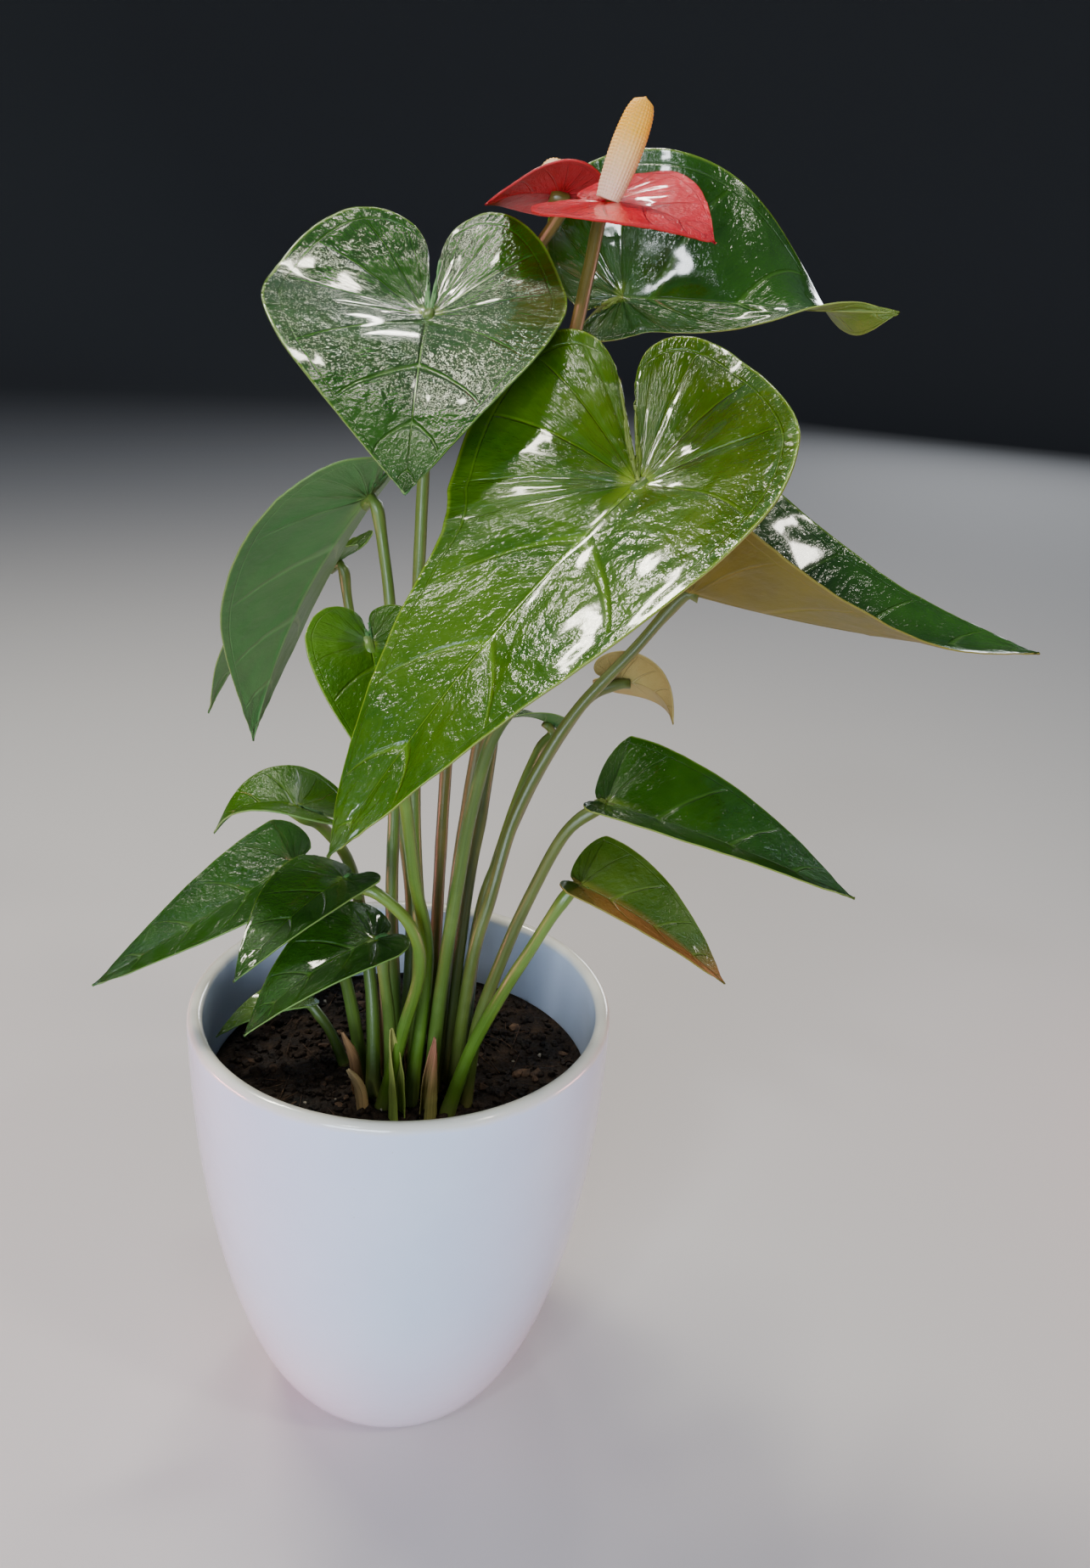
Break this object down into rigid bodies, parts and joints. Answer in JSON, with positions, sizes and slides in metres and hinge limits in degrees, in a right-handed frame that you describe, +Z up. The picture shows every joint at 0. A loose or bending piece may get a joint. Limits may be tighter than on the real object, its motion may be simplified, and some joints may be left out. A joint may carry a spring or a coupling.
{
  "type": "potted anthurium",
  "caption": "Flowering houseplant with heart-shaped glossy leaves and red spathes, standing in a tapered white glazed pot.",
  "frame": {"origin": "middle of the pot's flat underside", "axes": "+Z up along the pot's axis, -Y towards the side the plant faces, +X to the right seen from there"},
  "size_m": [0.2812, 0.2224, 0.4223],
  "materials": {
    "pot_glaze": "gloss",
    "soil": "matte",
    "leaf_green": "satin",
    "leaf_light": "satin",
    "leaf_tan": "satin",
    "petiole": "satin",
    "peduncle": "satin",
    "spathe": "gloss",
    "spathe_back": "satin",
    "spadix": "matte",
    "crown": "matte",
    "sheath_dry": "matte",
    "sheath_fresh": "satin"
  },
  "bodies": {
    "root": {"pot": "pot_glaze", "soil": "soil", "crown": "crown", "blade_front": "leaf_green", "petiole_front": "petiole", "blade_tall_left": "leaf_green", "petiole_tall_left": "petiole", "blade_tall_right": "leaf_green", "petiole_tall_right": "petiole", "blade_rear_left": "leaf_light", "petiole_rear_left": "petiole", "blade_hidden_left": "leaf_green", "petiole_hidden_left": "petiole", "blade_young_left": "leaf_light", "petiole_young_left": "petiole", "blade_wide_right": "leaf_green", "petiole_wide_right": "petiole", "blade_low_right": "leaf_green", "petiole_low_right": "petiole", "blade_lowest_right": "leaf_green", "petiole_lowest_right": "petiole", "blade_curled_right": "leaf_tan", "petiole_curled_right": "petiole", "blade_rear_small": "leaf_green", "petiole_rear_small": "petiole", "blade_small_left": "leaf_light", "petiole_small_left": "petiole", "blade_low_left": "leaf_green", "petiole_low_left": "petiole", "blade_rim_bright": "leaf_light", "petiole_rim_bright": "petiole", "blade_rim_dark": "leaf_green", "petiole_rim_dark": "petiole", "blade_pot_inner": "leaf_green", "petiole_pot_inner": "petiole", "spathe_front": "spathe", "spadix_front": "spadix", "peduncle_front": "peduncle", "spathe_rear": "spathe_back", "spadix_rear": "spadix", "peduncle_rear": "peduncle", "sheath_green": "sheath_fresh", "sheath_pink": "sheath_fresh", "sheath_brown_left": "sheath_dry", "sheath_brown_tall": "sheath_dry", "sheath_dry": "sheath_dry"}
  },
  "joints": []
}
